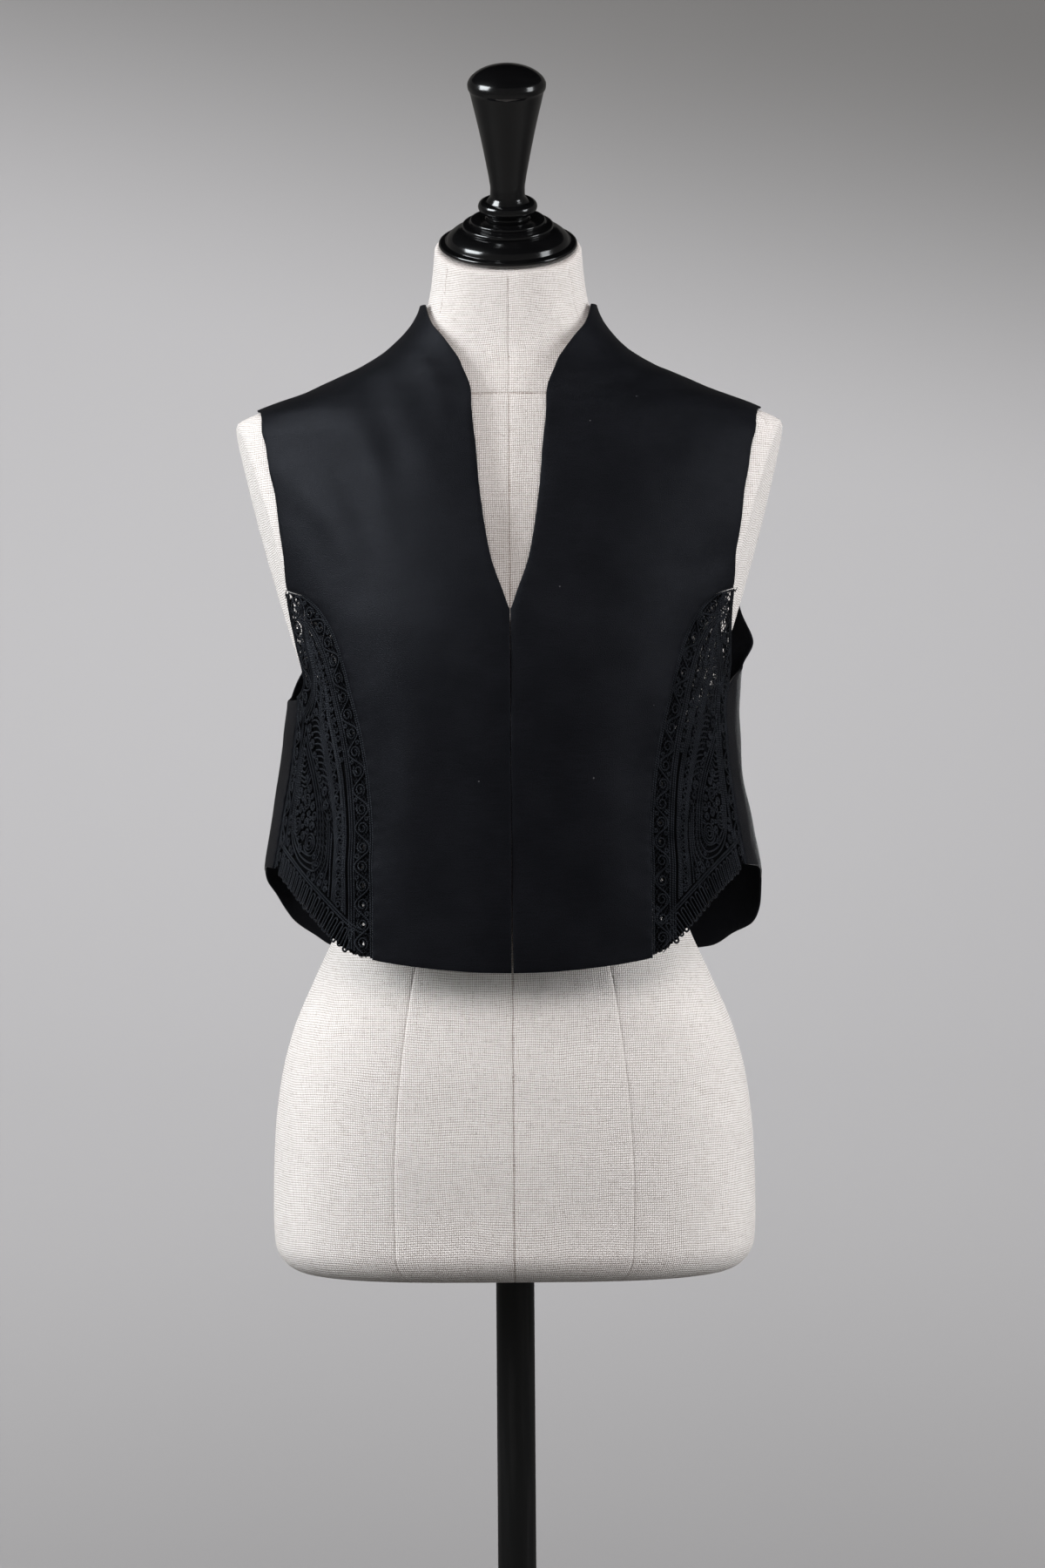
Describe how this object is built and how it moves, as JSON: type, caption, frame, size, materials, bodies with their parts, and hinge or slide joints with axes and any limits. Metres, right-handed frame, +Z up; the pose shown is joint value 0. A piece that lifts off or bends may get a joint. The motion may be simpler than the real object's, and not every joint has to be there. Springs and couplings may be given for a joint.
{
  "type": "vest on dress form",
  "caption": "Cropped stand-collar vest with cord-lace side panels, worn by a limbless linen dress form with a turned finial, on a pole and a round base.",
  "frame": {"origin": "middle of the base's underside, on the floor", "axes": "+Z up along the pole, the wearer faces -Y, +X is the wearer's left side"},
  "size_m": [0.41, 0.41, 1.594],
  "materials": {
    "black_satin": "satin",
    "black_cord": "matte",
    "linen": "matte",
    "black_lacquer": "gloss",
    "black_paint": "satin"
  },
  "bodies": {
    "root": {"front_right": "black_satin", "front_left": "black_satin", "back": "black_satin", "lace_side_right": "black_cord", "lace_side_left": "black_cord", "torso": "linen", "neck_cap": "black_lacquer", "finial": "black_lacquer", "pole": "black_paint", "base": "black_paint"}
  },
  "joints": []
}
